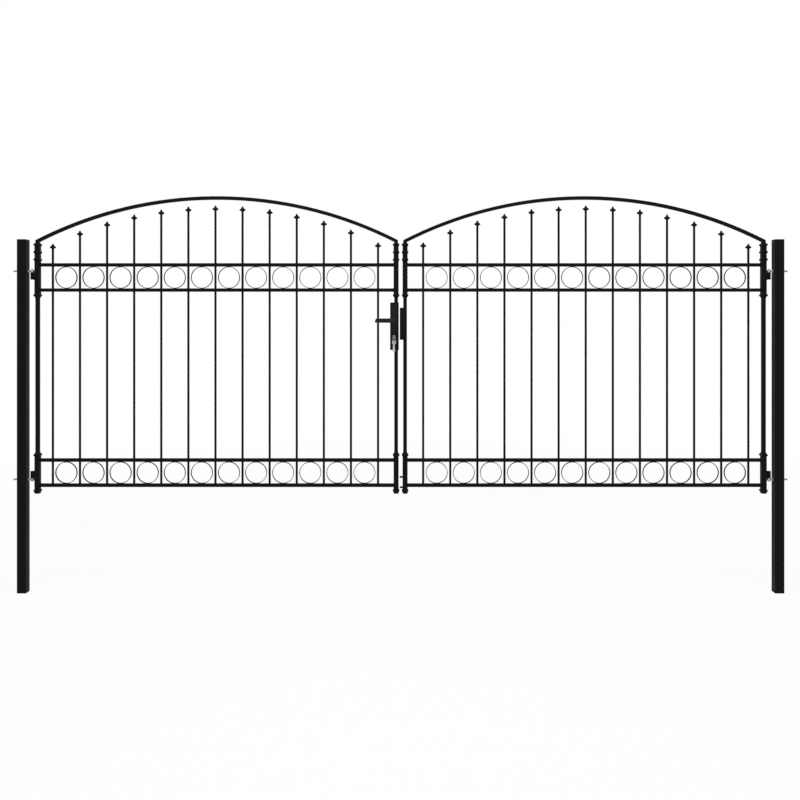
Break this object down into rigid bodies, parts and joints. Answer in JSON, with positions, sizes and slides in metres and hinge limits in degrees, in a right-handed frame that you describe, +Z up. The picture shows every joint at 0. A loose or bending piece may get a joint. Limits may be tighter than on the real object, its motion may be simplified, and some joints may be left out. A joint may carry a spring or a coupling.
{
  "type": "arched double gate",
  "caption": "Double driveway gate of black powder-coated steel tube: arched leaves with round bars, spear tips and ring bands, hung on eye bolts between square posts, with a lever lock.",
  "frame": {"origin": "middle of the left post's foot, as seen from the front", "axes": "+X along the gate from the left post to the right one, +Y away from the front, +Z up"},
  "size_m": [4.152, 0.116, 2.1238],
  "materials": {
    "black_powder_coat": "satin black powder coat on steel",
    "black_plastic": "moulded matt black",
    "black_lock_trim": "satin black, as moulded",
    "zinc_plate": "bright zinc plated",
    "nickel": "satin nickel plated brass"
  },
  "bodies": {
    "posts": {"left_post": "black_powder_coat", "right_post": "black_powder_coat", "left_post_cap": "black_plastic", "right_post_cap": "black_plastic", "left_eye_bolts": "zinc_plate", "right_eye_bolts": "zinc_plate", "left_hinge_nuts": "zinc_plate", "right_hinge_nuts": "zinc_plate"},
    "left_leaf": {"left_hinge_stile": "black_powder_coat", "left_meeting_stile": "black_powder_coat", "left_arch": "black_powder_coat", "left_top_rail": "black_powder_coat", "left_upper_ring_rail": "black_powder_coat", "left_lower_ring_rail": "black_powder_coat", "left_bottom_rail": "black_powder_coat", "left_bars": "black_powder_coat", "left_spear_tips": "black_powder_coat", "left_upper_rings": "black_powder_coat", "left_lower_rings": "black_powder_coat", "left_hinge_sleeves": "black_powder_coat", "left_meeting_sleeves": "black_powder_coat", "left_hinge_barrels": "black_powder_coat", "lock_case": "black_powder_coat", "lock_plates": "black_lock_trim", "lock_bolts": "zinc_plate", "lock_cylinder": "nickel", "lock_keys": "nickel"},
    "right_leaf": {"right_hinge_stile": "black_powder_coat", "right_meeting_stile": "black_powder_coat", "right_arch": "black_powder_coat", "right_top_rail": "black_powder_coat", "right_upper_ring_rail": "black_powder_coat", "right_lower_ring_rail": "black_powder_coat", "right_bottom_rail": "black_powder_coat", "right_bars": "black_powder_coat", "right_spear_tips": "black_powder_coat", "right_upper_rings": "black_powder_coat", "right_lower_rings": "black_powder_coat", "right_hinge_sleeves": "black_powder_coat", "right_meeting_sleeves": "black_powder_coat", "right_hinge_barrels": "black_powder_coat", "lock_keeper": "black_powder_coat", "stop_lugs": "black_powder_coat"},
    "lever": {"lever_handles": "black_lock_trim"}
  },
  "joints": [
    {"name": "left_leaf_swing", "type": "hinge", "parent": "posts", "child": "left_leaf", "pos_m": [0.0485, 0, 0.605], "axis": [0, 0, 1], "range_deg": [0, 90]},
    {"name": "right_leaf_swing", "type": "hinge", "parent": "posts", "child": "right_leaf", "pos_m": [4.0015, 0, 0.605], "axis": [0, 0, -1], "range_deg": [0, 90]},
    {"name": "lever_turn", "type": "hinge", "parent": "left_leaf", "child": "lever", "pos_m": [1.99, 0, 1.457], "axis": [0, -1, 0], "range_deg": [0, 40], "stiffness_Nm_per_rad": 2, "springref_deg": -20.05}
  ]
}
